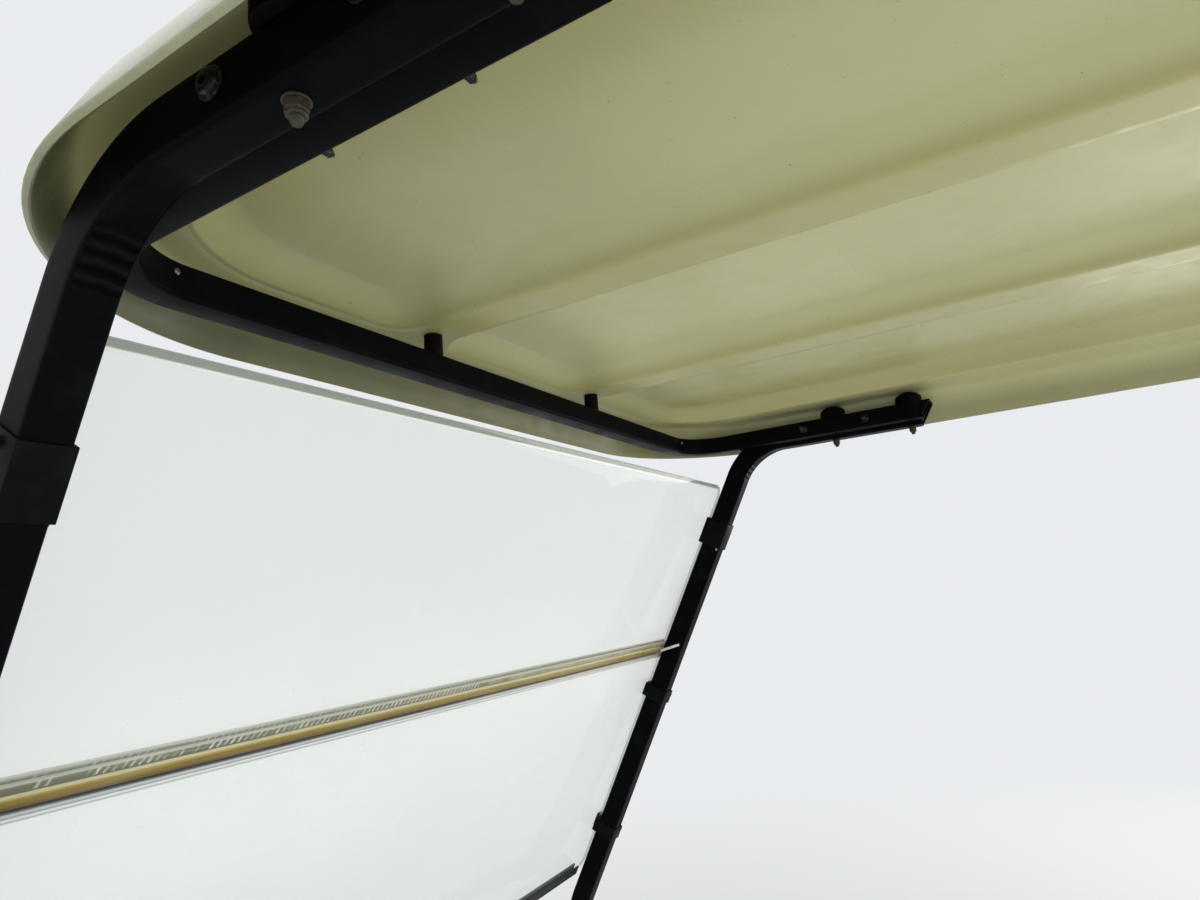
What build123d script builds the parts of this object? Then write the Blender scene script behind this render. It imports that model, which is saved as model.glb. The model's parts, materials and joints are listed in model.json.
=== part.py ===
"""Moulded canopy of a golf cart with its tube frame and folding windshield.

Millimetres. +Z is up, the front faces -Y and +X is the vehicle's left side.
The origin is the centre of the bolt pattern under the two front feet.
"""
import os
from math import atan, cos, degrees, radians, sin, tan

from build123d import *

# Tube frame
STRUT_SPACING = 1000.0      # between the centre lines of the left and right struts
STRUT_WIDTH = 25.4          # strut tube across the vehicle
STRUT_DEPTH = 31.75         # strut tube along the vehicle
RAIL_SIZE = 25.4            # square tube of the U-shaped rails
TUBE_WALL = 2.0
TUBE_CORNER = 3.0           # bevel along the outer corners of every tube
FRONT_BEND = 100.0          # centre line radius of the front struts' bends
REAR_BEND = 120.0
RAIL_BEND = 70.0            # centre line radius of the rail corners

# Side view of the frame
FRONT_KNEE_HEIGHT = 316.5   # where the front strut starts to lean
FRONT_LEAN = 28.2           # degrees, top to the rear
ARM_HEIGHT = 1070.0         # centre line of the strut arms under the roof
ARM_LENGTH = 285.0          # from the corner of a strut to the tip of its arm
ARM_TIP_SLANT = 60.0        # degrees between the tip's cut and the arm
RAIL_AHEAD = 102.0          # from the corner of a strut out to the cross tube of its rail
RAIL_RISE = 2.5             # centre line of the rails above that of the arms
FRAME_LENGTH = 1222.0       # between the cross tubes of the front and rear rails
REAR_FOOT_HEIGHT = 120.0    # rear feet above the front feet
REAR_KNEE_HEIGHT = 150.0    # where the rear strut starts to lean, above its foot
REAR_LEAN = 6.0             # degrees, top to the front

# Feet
FOOT_LENGTH = 96.0
FOOT_WIDTH = 44.0
FOOT_PLATE = 5.0
FOOT_CORNER = 6.0
FOOT_HOLE_SPACING = 64.0
FOOT_HOLE_R = 4.5

# Roof shell
ROOF_WALL = 4.5
ROOF_LIP_SIDE = 542.5       # from the middle of the roof to the edge of its lip
ROOF_LIP_END = 80.0         # from the rail's cross tube to the edge of the lip
ROOF_CORNER = 230.0
ROOF_EDGE_R = 24.0          # round between the lip and the flange
ROOF_LIP_DRAFT = 25.0       # degrees that the lip leans in towards the top
ROOF_LIP_DROP = 45.0        # lip edge below the underside of the flange
ROOF_SEAT = 38.0            # underside of the flange above the arms' centre line
PAD_RISE = 22.0             # raised panels above the flange
PAD_SLOPE = 42.0            # degrees that the panels' sides rise
PAD_FOOT_BEVEL = 7.0
PAD_TOP_BEVEL = 8.0
PAD_AHEAD = 22.0            # foot of a panel, ahead of the rail's cross tube
MID_PAD_HALF = 130.0        # half width of the middle panel at its foot
SIDE_PAD_IN = 176.0         # inner and outer edge of a side panel at its foot
SIDE_PAD_OUT = 448.0
PAD_CORNER = 36.0
SIDE_PAD_CORNER = 130.0     # outer corners of the side panels

# What stands between the frame and the roof
POST_R = 9.2
POST_X = 153.0              # posts on the rails' cross tubes, from the middle
SPACER_R = 19.0             # round spacers on the arms
SPACER_TOP_R = 3.6          # where a spacer touches the roof
SPACER_BEVEL = 8.0          # height of the bevel at the top of a spacer
SPACER_NEAR = 140.0         # spacers of one arm, from the corner of the strut
SPACER_FAR = 253.0

# Windshield, measured up the front strut from its knee corner and out from its centre line
SHEET_T = 4.8
SHEET_OUT = 22.4            # rear face of the sheets
SHEET_PAST = 8.0            # sheets reach beyond the centre lines of the struts
SHEET_CORNER = 25.0
SHEET_BOTTOM = 60.0
SHEET_BELOW_ARM = 82.0      # from the strut's upper corner down to the sheet's top edge
SEAM = 470.0                # level of the fold
PIVOT_OUT = 33.0            # centre of the fold's bead
SEAM_GAP = 1.0              # from the fold to the edge of either channel
CHANNEL_WALL = 2.2
LOWER_CHANNEL_HEIGHT = 8.0
LOWER_SLOT_DEPTH = 5.5
UPPER_CHANNEL_HEIGHT = 18.0
UPPER_SLOT_DEPTH = 14.0
BEAD_R = 3.2
BEAD_CLEARANCE = 0.4        # between the bead and the upper channel's lip
BEAD_LIP = 2.6              # thickness of the lips that reach out to the bead
SEAL_WALL = 3.0
SEAL_DEPTH = 14.0

# Clips on the front struts
CLIP_GAP = 0.3
UPPER_CLIP_BELOW_ARM = 138.0
UPPER_CLIP_LENGTH = 44.0
CLIP_WALL = 1.6
LOW_BAND = 150.0            # middle of each band, up the strut
HIGH_BAND = 404.0
BAND_LENGTH = 22.0
HOOK_LIP = 14.0             # how far a band's hook covers the sheet
STRAP_ABOVE_SEAM = 4.6      # front end of the strap on the strut's inner face
STRAP_RISE = 24.4           # rear end above the front end, along the strut
STRAP_REAR_OUT = -9.5       # rear end, out from the strut's centre line
STRAP_WIDTH = 4.0
STRAP_T = 2.0

# Worked out from the sizes above
strut_x = STRUT_SPACING / 2
strut_side = STRUT_WIDTH / 2
strut_front = STRUT_DEPTH / 2
rail_leg_x = strut_x - strut_side - RAIL_SIZE / 2
rail_z = ARM_HEIGHT + RAIL_RISE
front_corner_y = (ARM_HEIGHT - FRONT_KNEE_HEIGHT) * tan(radians(FRONT_LEAN))
front_rail_y = front_corner_y - RAIL_AHEAD
rear_rail_y = front_rail_y + FRAME_LENGTH
rear_corner_y = rear_rail_y - RAIL_AHEAD
rear_knee_z = REAR_FOOT_HEIGHT + REAR_KNEE_HEIGHT
rear_foot_y = rear_corner_y + (ARM_HEIGHT - rear_knee_z) * tan(radians(REAR_LEAN))
seat_z = ARM_HEIGHT + ROOF_SEAT
flange_top_z = seat_z + ROOF_WALL
lip_z = seat_z - ROOF_LIP_DROP
roof_mid_y = (front_rail_y + rear_rail_y) / 2
roof_length = FRAME_LENGTH + 2 * ROOF_LIP_END
arm_over_z = ARM_HEIGHT + strut_front
arm_station = (ARM_HEIGHT - FRONT_KNEE_HEIGHT) / cos(radians(FRONT_LEAN))
sheet_width = STRUT_SPACING + 2 * SHEET_PAST
sheet_top = arm_station - SHEET_BELOW_ARM

# The windshield's plane: x across, y up the strut, z out to the front
slope = Plane(
    origin=(0, 0, FRONT_KNEE_HEIGHT),
    x_dir=(1, 0, 0),
    z_dir=(0, -cos(radians(FRONT_LEAN)), sin(radians(FRONT_LEAN))),
)

# End of the frame, its corner, and the way its arms run
FRAME_ENDS = {
    "front": (front_corner_y, 1),
    "rear": (rear_corner_y, -1),
}
# Channel of the fold, the way it faces, its height and the depth of its slot
CHANNELS = {
    "lower": (-1, LOWER_CHANNEL_HEIGHT, LOWER_SLOT_DEPTH),
    "upper": (1, UPPER_CHANNEL_HEIGHT, UPPER_SLOT_DEPTH),
}
SIDES = {"left": 1, "right": -1}

os.makedirs("parts", exist_ok=True)


def save(part, name):
    part.label = name
    export_step(part, f"parts/{name}.step")


def bevelled_rectangle(width, depth, bevel, mode=Mode.ADD):
    x, y = width / 2, depth / 2
    Polygon(
        (x - bevel, -y), (x, bevel - y), (x, y - bevel), (x - bevel, y),
        (bevel - x, y), (-x, y - bevel), (-x, bevel - y), (bevel - x, -y),
        align=None,
        mode=mode,
    )


def tube_profile(width, depth):
    bevelled_rectangle(width, depth, TUBE_CORNER)
    Rectangle(width - 2 * TUBE_WALL, depth - 2 * TUBE_WALL, mode=Mode.SUBTRACT)


def cut_tip(x, tip_y, run, mid_z, width, depth):
    """Cuts a tube that runs along Y so that its tip slants back underneath."""
    back = depth / tan(radians(ARM_TIP_SLANT))
    with BuildSketch(Plane.YZ.offset(x)) as wedge:
        Polygon(
            (tip_y, mid_z + depth / 2),
            (tip_y - run * back, mid_z - depth / 2),
            (tip_y + run * back, mid_z - depth / 2),
            align=None,
        )
    extrude(wedge.sketch, amount=width, both=True, mode=Mode.SUBTRACT)


# Roof shell
def roof_form(inset):
    """The roof's outside, or with an inset the hollow that leaves its wall."""
    top = flange_top_z - inset
    lip_inset = inset / cos(radians(ROOF_LIP_DRAFT))
    pad_inset = inset * tan(radians(PAD_SLOPE / 2))
    pad_length = FRAME_LENGTH + 2 * PAD_AHEAD
    side_mid = (SIDE_PAD_IN + SIDE_PAD_OUT) / 2
    with BuildPart() as form:
        with BuildSketch(Plane.XY.offset(lip_z)):
            with Locations((0, roof_mid_y)):
                RectangleRounded(
                    2 * (ROOF_LIP_SIDE - lip_inset),
                    roof_length - 2 * lip_inset,
                    ROOF_CORNER - lip_inset,
                )
        extrude(amount=top - lip_z, taper=ROOF_LIP_DRAFT)
        fillet(form.faces().sort_by(Axis.Z)[-1].edges(), ROOF_EDGE_R - inset)
        for pad_x, pad_width in (
            (-side_mid, SIDE_PAD_OUT - SIDE_PAD_IN),
            (0, 2 * MID_PAD_HALF),
            (side_mid, SIDE_PAD_OUT - SIDE_PAD_IN),
        ):
            with BuildSketch(Plane.XY.offset(top)) as foot:
                with Locations((pad_x, roof_mid_y)):
                    Rectangle(pad_width - 2 * pad_inset, pad_length - 2 * pad_inset)
                outer = foot.vertices().filter_by(lambda v: abs(v.X) > abs(pad_x) > 0)
                inner = foot.vertices() - outer
                if outer:
                    fillet(outer, SIDE_PAD_CORNER - pad_inset)
                fillet(inner, PAD_CORNER - pad_inset)
            extrude(amount=PAD_RISE, taper=90 - PAD_SLOPE)
        chamfer(form.faces().filter_by(Axis.Z).group_by(Axis.Z)[-1].edges(), PAD_TOP_BEVEL)
        flange = form.faces().filter_by(Axis.Z).group_by(Axis.Z)[-2][0]
        for foot_wire in flange.inner_wires():
            chamfer(foot_wire.edges(), PAD_FOOT_BEVEL)
    return form.part


with BuildPart() as roof_shell:
    add(roof_form(0))
    add(roof_form(ROOF_WALL), mode=Mode.SUBTRACT)
save(roof_shell.part, "roof_shell")


# Struts: foot plate, leg, lean and the arm that carries the roof
def strut(side, corner_y, run, foot_y, foot_z, knee_z, bend):
    x = side * strut_x
    tip_y = corner_y + run * ARM_LENGTH
    with BuildPart() as post:
        with BuildLine():
            FilletPolyline(
                (x, foot_y, foot_z + FOOT_PLATE),
                (x, foot_y, knee_z),
                (x, corner_y, ARM_HEIGHT),
                (x, tip_y, ARM_HEIGHT),
                radius=bend,
            )
        with BuildSketch(Plane.XY.offset(foot_z + FOOT_PLATE)):
            with Locations((x, foot_y)):
                tube_profile(STRUT_WIDTH, STRUT_DEPTH)
        sweep()
        with BuildSketch(Plane.XY.offset(foot_z)):
            with Locations((x, foot_y)):
                bevelled_rectangle(FOOT_WIDTH, FOOT_LENGTH, FOOT_CORNER)
                with GridLocations(0, FOOT_HOLE_SPACING, 1, 2):
                    Circle(FOOT_HOLE_R, mode=Mode.SUBTRACT)
        extrude(amount=FOOT_PLATE)
        # The arm's tip is cut back underneath
        cut_tip(x, tip_y, run, ARM_HEIGHT, STRUT_WIDTH, STRUT_DEPTH)
    return post.part


for side_name, side in SIDES.items():
    save(
        strut(side, front_corner_y, 1, 0, 0, FRONT_KNEE_HEIGHT, FRONT_BEND),
        f"front_strut_{side_name}",
    )
    save(
        strut(side, rear_corner_y, -1, rear_foot_y, REAR_FOOT_HEIGHT, rear_knee_z, REAR_BEND),
        f"rear_strut_{side_name}",
    )


# Rails: a cross tube whose ends turn back along the arms
def rail(rail_y, corner_y, run):
    tip_y = corner_y + run * ARM_LENGTH
    with BuildPart() as bar:
        with BuildLine():
            FilletPolyline(
                (-rail_leg_x, tip_y, rail_z),
                (-rail_leg_x, rail_y, rail_z),
                (rail_leg_x, rail_y, rail_z),
                (rail_leg_x, tip_y, rail_z),
                radius=RAIL_BEND,
            )
        with BuildSketch(Plane(origin=(-rail_leg_x, tip_y, rail_z), z_dir=(0, -run, 0))):
            tube_profile(RAIL_SIZE, RAIL_SIZE)
        sweep()
        for x in (-rail_leg_x, rail_leg_x):
            cut_tip(x, tip_y, run, rail_z, RAIL_SIZE, RAIL_SIZE)
    return bar.part


save(rail(front_rail_y, front_corner_y, 1), "front_rail")
save(rail(rear_rail_y, rear_corner_y, -1), "rear_rail")


# Posts between the rails' cross tubes and the roof
post_foot_z = rail_z + RAIL_SIZE / 2
for end_name, rail_y in (("front", front_rail_y), ("rear", rear_rail_y)):
    with BuildPart() as posts:
        with BuildSketch(Plane.XY.offset(post_foot_z)):
            with Locations((-POST_X, rail_y), (POST_X, rail_y)):
                Circle(POST_R)
        extrude(amount=seat_z - post_foot_z)
    save(posts.part, f"{end_name}_posts")


# Spacers between the arms and the roof
bevel_z = seat_z - SPACER_BEVEL
for side_name, side in SIDES.items():
    spots = [
        (side * strut_x, corner + run * station)
        for corner, run in FRAME_ENDS.values()
        for station in (SPACER_NEAR, SPACER_FAR)
    ]
    with BuildPart() as spacers:
        with BuildSketch(Plane.XY.offset(arm_over_z)):
            with Locations(*spots):
                Circle(SPACER_R)
        extrude(amount=bevel_z - arm_over_z)
        with BuildSketch(Plane.XY.offset(bevel_z)):
            with Locations(*spots):
                Circle(SPACER_R)
        extrude(
            amount=SPACER_BEVEL,
            taper=degrees(atan((SPACER_R - SPACER_TOP_R) / SPACER_BEVEL)),
        )
    save(spacers.part, f"roof_spacers_{side_name}")


# Windshield sheets and their fold
def sheet(bottom, top, round_top):
    with BuildPart() as pane:
        with BuildSketch(slope.offset(SHEET_OUT)) as outline:
            with Locations((0, (bottom + top) / 2)):
                Rectangle(sheet_width, top - bottom)
            levels = outline.vertices().group_by(Axis.Y)
            fillet(levels[-1 if round_top else 0], SHEET_CORNER)
        extrude(amount=SHEET_T)
    return pane.part


channel_front = SHEET_OUT + SHEET_T + CHANNEL_WALL
bead_plane = Plane(
    origin=slope.from_local_coords(Vector(-sheet_width / 2, SEAM, PIVOT_OUT)),
    x_dir=slope.y_dir,
    z_dir=(1, 0, 0),
)


def sheet_edge(name):
    """Where the sheet ends inside the channel of that name."""
    facing, height, slot = CHANNELS[name]
    return SEAM + facing * (SEAM_GAP + height - slot)


save(sheet(SHEET_BOTTOM, sheet_edge("lower"), False), "windshield_lower")
save(sheet(sheet_edge("upper"), sheet_top, True), "windshield_upper")

# Channels that grip the sheets' edges: the lower one carries the bead of the fold
for name, (facing, height, slot) in CHANNELS.items():
    near = SEAM + facing * SEAM_GAP
    far = near + facing * height
    lip_from = 0 if name == "lower" else BEAD_R + BEAD_CLEARANCE
    with BuildPart() as channel:
        with BuildSketch(slope.offset(SHEET_OUT - CHANNEL_WALL)):
            with Locations((0, (near + far) / 2)):
                Rectangle(sheet_width, height)
        extrude(amount=SHEET_T + 2 * CHANNEL_WALL)
        with BuildSketch(slope.offset(SHEET_OUT)):
            with Locations((0, far - facing * slot / 2)):
                Rectangle(sheet_width, slot)
        extrude(amount=SHEET_T, mode=Mode.SUBTRACT)
        with BuildSketch(slope.offset(channel_front)):
            with Locations((0, SEAM + facing * (lip_from + BEAD_LIP / 2))):
                Rectangle(sheet_width, BEAD_LIP)
        extrude(amount=PIVOT_OUT - channel_front)
        if name == "lower":
            with BuildSketch(bead_plane):
                Circle(BEAD_R)
            extrude(amount=sheet_width)
    save(channel.part, f"hinge_channel_{name}")


# Soft channel on the lower edge of the lower sheet
with BuildPart() as bottom_seal:
    with BuildSketch(slope.offset(SHEET_OUT - SEAL_WALL)):
        with Locations((0, SHEET_BOTTOM - SEAL_WALL + SEAL_DEPTH / 2)):
            Rectangle(sheet_width - 2 * SHEET_CORNER, SEAL_DEPTH)
    extrude(amount=SHEET_T + 2 * SEAL_WALL)
    with BuildSketch(slope.offset(SHEET_OUT)):
        with Locations((0, SHEET_BOTTOM + SEAL_DEPTH / 2)):
            Rectangle(sheet_width, SEAL_DEPTH)
    extrude(amount=SHEET_T, mode=Mode.SUBTRACT)
save(bottom_seal.part, "bottom_seal")


# Clips on the front struts: a sleeve behind the upper sheet, and two bands behind the
# lower one, of which the low band hooks round the sheet's edge
sleeve_front = SHEET_OUT - CLIP_GAP
sleeve_mid = arm_station - UPPER_CLIP_BELOW_ARM - UPPER_CLIP_LENGTH / 2
hook_front = SHEET_OUT + SHEET_T + CLIP_WALL
hook_side = strut_side + CLIP_WALL


def across_strut(side, station):
    """Plane square to the front strut: x outboard, y to the front."""
    return Plane(
        origin=slope.from_local_coords(Vector(side * strut_x, station, 0)),
        x_dir=(side, 0, 0),
        z_dir=-side * slope.y_dir,
    )


def strut_sleeve(front):
    """A ring round the strut, whose front face stands at the given distance."""
    with Locations((0, (front - strut_front - CLIP_WALL) / 2)):
        Rectangle(STRUT_WIDTH + 2 * CLIP_WALL, front + strut_front + CLIP_WALL)
    bevelled_rectangle(STRUT_WIDTH, STRUT_DEPTH, TUBE_CORNER, Mode.SUBTRACT)


for side_name, side in SIDES.items():
    with BuildPart() as upper_clip:
        with BuildSketch(across_strut(side, sleeve_mid)):
            strut_sleeve(sleeve_front)
        extrude(amount=UPPER_CLIP_LENGTH / 2, both=True)
    save(upper_clip.part, f"upper_clip_{side_name}")

    for band_name, station in (("low", LOW_BAND), ("high", HIGH_BAND)):
        with BuildPart() as band:
            with BuildSketch(across_strut(side, station)):
                strut_sleeve(SHEET_OUT)
                if band_name == "low":
                    with BuildLine():
                        Polyline(
                            (hook_side, 0),
                            (hook_side, hook_front),
                            (hook_side - HOOK_LIP, hook_front),
                            (hook_side - HOOK_LIP, SHEET_OUT + SHEET_T),
                            (strut_side, SHEET_OUT + SHEET_T),
                            (strut_side, 0),
                            close=True,
                        )
                    make_face()
            extrude(amount=BAND_LENGTH / 2, both=True)
        save(band.part, f"band_clip_{band_name}_{side_name}")

    strap_ends = [
        slope.from_local_coords(Vector(side * (strut_x - strut_side), station, out))
        for station, out in (
            (SEAM + STRAP_ABOVE_SEAM, SHEET_OUT - CHANNEL_WALL - CLIP_GAP - STRAP_WIDTH / 2),
            (SEAM + STRAP_ABOVE_SEAM + STRAP_RISE, STRAP_REAR_OUT),
        )
    ]
    strap_run = strap_ends[1] - strap_ends[0]
    with BuildPart() as strap:
        with BuildSketch(
            Plane(origin=(strap_ends[0] + strap_ends[1]) / 2, x_dir=strap_run, z_dir=(-side, 0, 0))
        ):
            Rectangle(strap_run.length, STRAP_WIDTH)
        extrude(amount=STRAP_T)
    save(strap.part, f"seam_strap_{side_name}")
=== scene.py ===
"""Looks of a golf cart canopy: moulded roof, black tube frame, folding windshield.

Metres. +Z is up, the front faces -Y and +X is the vehicle's left side.
"""
import json
from math import cos, pi, radians, sin, tan

import bmesh
import bpy
from mathutils import Matrix, Vector


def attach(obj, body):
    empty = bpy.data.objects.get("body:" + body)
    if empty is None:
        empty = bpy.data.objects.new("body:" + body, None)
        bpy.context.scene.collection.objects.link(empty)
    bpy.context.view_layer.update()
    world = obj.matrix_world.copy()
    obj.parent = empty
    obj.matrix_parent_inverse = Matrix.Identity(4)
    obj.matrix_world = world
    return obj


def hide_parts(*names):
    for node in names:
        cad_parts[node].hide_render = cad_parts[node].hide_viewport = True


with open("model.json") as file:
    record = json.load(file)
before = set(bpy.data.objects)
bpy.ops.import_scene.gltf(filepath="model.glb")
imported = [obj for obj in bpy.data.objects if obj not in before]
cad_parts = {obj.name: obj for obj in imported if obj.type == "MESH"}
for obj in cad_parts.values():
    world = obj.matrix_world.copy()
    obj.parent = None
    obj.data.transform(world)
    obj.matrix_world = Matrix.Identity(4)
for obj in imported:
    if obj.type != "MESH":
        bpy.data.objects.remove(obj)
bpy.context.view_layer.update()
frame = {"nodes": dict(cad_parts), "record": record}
scene = bpy.context.scene
scene.view_settings.view_transform = "Standard"

# Tube frame, as in the part's source
STRUT_X = 0.500             # centre line of the struts
STRUT_WIDTH = 0.0254
STRUT_DEPTH = 0.03175
RAIL_SIZE = 0.0254
TUBE_WALL = 0.002
TUBE_CORNER = 0.0032
FRONT_BEND = 0.100
REAR_BEND = 0.120
RAIL_BEND = 0.070
KNEE_Z = 0.3165
LEAN = radians(28.2)
ARM_Z = 1.070
ARM_LENGTH = 0.285
TIP_SLANT = radians(60)
FRONT_CORNER_Y = (ARM_Z - KNEE_Z) * tan(LEAN)
RAIL_AHEAD = 0.102
FRAME_LENGTH = 1.222
RAIL_Z = ARM_Z + 0.0025
REAR_FOOT_Z = 0.120
REAR_KNEE_Z = 0.270
REAR_LEAN = radians(6)
FOOT_PLATE = 0.005
FOOT_LENGTH = 0.096
FOOT_WIDTH = 0.044
FOOT_CORNER = 0.006
FOOT_HOLE_OUT = 0.032       # from the middle of a foot to each hole
FOOT_HOLE_R = 0.0045

FRONT_RAIL_Y = FRONT_CORNER_Y - RAIL_AHEAD
REAR_RAIL_Y = FRONT_RAIL_Y + FRAME_LENGTH
REAR_CORNER_Y = REAR_RAIL_Y - RAIL_AHEAD
REAR_FOOT_Y = REAR_CORNER_Y + (ARM_Z - REAR_KNEE_Z) * tan(REAR_LEAN)
ROOF_MID_Y = (FRONT_RAIL_Y + REAR_RAIL_Y) / 2

# Roof
ROOF_WALL = 0.0045
ROOF_HALF_X = 0.5425
ROOF_HALF_Y = FRAME_LENGTH / 2 + 0.080
ROOF_CORNER = 0.230
ROOF_EDGE_R = 0.024
LIP_DRAFT = radians(25)
FLANGE_TOP = 1.1125
LIP_Z = 1.063
PAD_RISE = 0.022
SEAT_Z = FLANGE_TOP - ROOF_WALL     # underside of the flange

# Windshield, measured up the strut from its knee and out from its centre line
SHEET_OUT = 0.0224
SHEET_T = 0.0048
SHEET_HALF = 0.508
SEAM = 0.470
STATION_TOP = (ARM_Z - KNEE_Z) / cos(LEAN)
SHEET_TOP = STATION_TOP - 0.082
SLEEVE_MID = STATION_TOP - 0.160    # middle of the upper clips
LOW_BAND = 0.150
HIGH_BAND = 0.404
ACROSS = Vector((1, 0, 0))
UP_SLOPE = Vector((0, sin(LEAN), cos(LEAN)))
OUT_SLOPE = Vector((0, -cos(LEAN), sin(LEAN)))

# Fasteners, posts and spacers
SIDE_BOLTS = (0.100, 0.193)         # from a strut's corner towards its arm's tip
ROOF_BOLTS = (0.140, 0.253)
POST_X = 0.153
POST_R = 0.0092
SPACER_R = 0.019

SIDES = {"left": 1, "right": -1}


# Shader graphs
class Value:
    """A shader socket that takes part in expressions."""

    def __init__(self, graph, socket):
        self.graph = graph
        self.socket = socket

    def math(self, operation, *terms):
        inputs = dict(enumerate(terms))
        return self.graph.node("ShaderNodeMath", "Value", {"operation": operation}, inputs)

    def __add__(self, other):
        return self.math("ADD", self, other)

    __radd__ = __add__

    def __sub__(self, other):
        return self.math("SUBTRACT", self, other)

    def __rsub__(self, other):
        return self.math("SUBTRACT", other, self)

    def __mul__(self, other):
        return self.math("MULTIPLY", self, other)

    __rmul__ = __mul__

    def __truediv__(self, other):
        return self.math("DIVIDE", self, other)

    def fraction(self):
        return self.math("FRACT", self)

    def absolute(self):
        return self.math("ABSOLUTE", self)

    def larger(self, other):
        return self.math("MAXIMUM", self, other)


class Graph:
    """A node tree. One method adds all its nodes."""

    def __init__(self, tree):
        self.tree = tree

    def node(self, kind, output, settings=None, inputs=None):
        """Adds a node: its settings first, then the values or links of its sockets."""
        node = self.tree.nodes.new(kind)
        for name, value in (settings or {}).items():
            if name == "stops":
                for stop, (at, colour) in zip(self.add_stops(node, len(value)), value):
                    stop.position = at
                    stop.color = (*colour, 1)
            else:
                setattr(node, name, value)
        for key, value in (inputs or {}).items():
            self.feed(self.find(node.inputs, key), value)
        return Value(self, self.find(node.outputs, output))

    @staticmethod
    def add_stops(node, count):
        stops = node.color_ramp.elements
        while len(stops) < count:
            stops.new(1.0)
        return stops

    @staticmethod
    def find(sockets, key):
        if isinstance(key, int):
            return sockets[key]
        return next(s for s in sockets if key in (s.identifier, s.name))

    def feed(self, socket, value):
        if isinstance(value, Value):
            self.tree.links.new(value.socket, socket)
        elif socket.type == "RGBA":
            socket.default_value = (*value, 1)
        else:
            socket.default_value = value

    def seen(self):
        """1 for rays of the camera, reflections and refractions, 0 for those that bring light."""
        camera, glossy, transmission = (
            self.node("ShaderNodeLightPath", f"Is {kind} Ray")
            for kind in ("Camera", "Glossy", "Transmission")
        )
        return camera.larger(glossy).larger(transmission)

    def blend(self, factor, first, second, end):
        """Mixes two shaders and links them to the tree's end node."""
        mixed = self.node(
            "ShaderNodeMixShader", "Shader", {}, {0: factor, 1: first, 2: second}
        )
        self.tree.links.new(mixed.socket, self.tree.nodes[end].inputs["Surface"])


class Finish(Graph):
    """A material and the nodes that drive its Principled shader."""

    def __init__(self, name, roughness=0.5, metallic=0.0, **uniform):
        self.material = bpy.data.materials.new(name)
        self.material.use_nodes = True
        super().__init__(self.material.node_tree)
        self.shader = self.tree.nodes["Principled BSDF"]
        self.shader.inputs["Roughness"].default_value = roughness
        self.shader.inputs["Metallic"].default_value = metallic
        for socket, value in uniform.items():
            self.shader.inputs[socket.replace("_", " ")].default_value = value
        self.place = self.node("ShaderNodeTexCoord", "Object")

    def noise(self, scale, detail=3.0, roughness=0.55, stretch=(1, 1, 1)):
        place = self.node(
            "ShaderNodeMapping", "Vector", {}, {"Vector": self.place, "Scale": stretch}
        )
        return self.node(
            "ShaderNodeTexNoise", "Fac", {},
            {"Vector": place, "Scale": scale, "Detail": detail, "Roughness": roughness},
        )

    def between(self, value, low, high, to_low=0.0, to_high=1.0):
        """Smoothly maps low..high to to_low..to_high, and holds the ends."""
        return self.node(
            "ShaderNodeMapRange", "Result", {"interpolation_type": "SMOOTHSTEP"},
            {"Value": value, "From Min": low, "From Max": high,
             "To Min": to_low, "To Max": to_high},
        )

    def mix(self, factor, first, second):
        return self.node(
            "ShaderNodeMix", "Result_Color", {"data_type": "RGBA"},
            {"Factor_Float": factor, "A_Color": first, "B_Color": second},
        )

    def along(self, direction):
        """Distance of a point along a direction."""
        return self.node(
            "ShaderNodeVectorMath", "Value", {"operation": "DOT_PRODUCT"},
            {0: self.place, 1: direction},
        )

    def bump(self, height, distance, strength=1.0, under=None):
        inputs = {"Height": height, "Distance": distance, "Strength": strength}
        if under:
            inputs["Normal"] = under
        return self.node("ShaderNodeBump", "Normal", {}, inputs)

    def use(self, **sockets):
        for name, value in sockets.items():
            self.feed(self.shader.inputs[name.replace("_", " ")], value)
        return self.material


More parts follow.
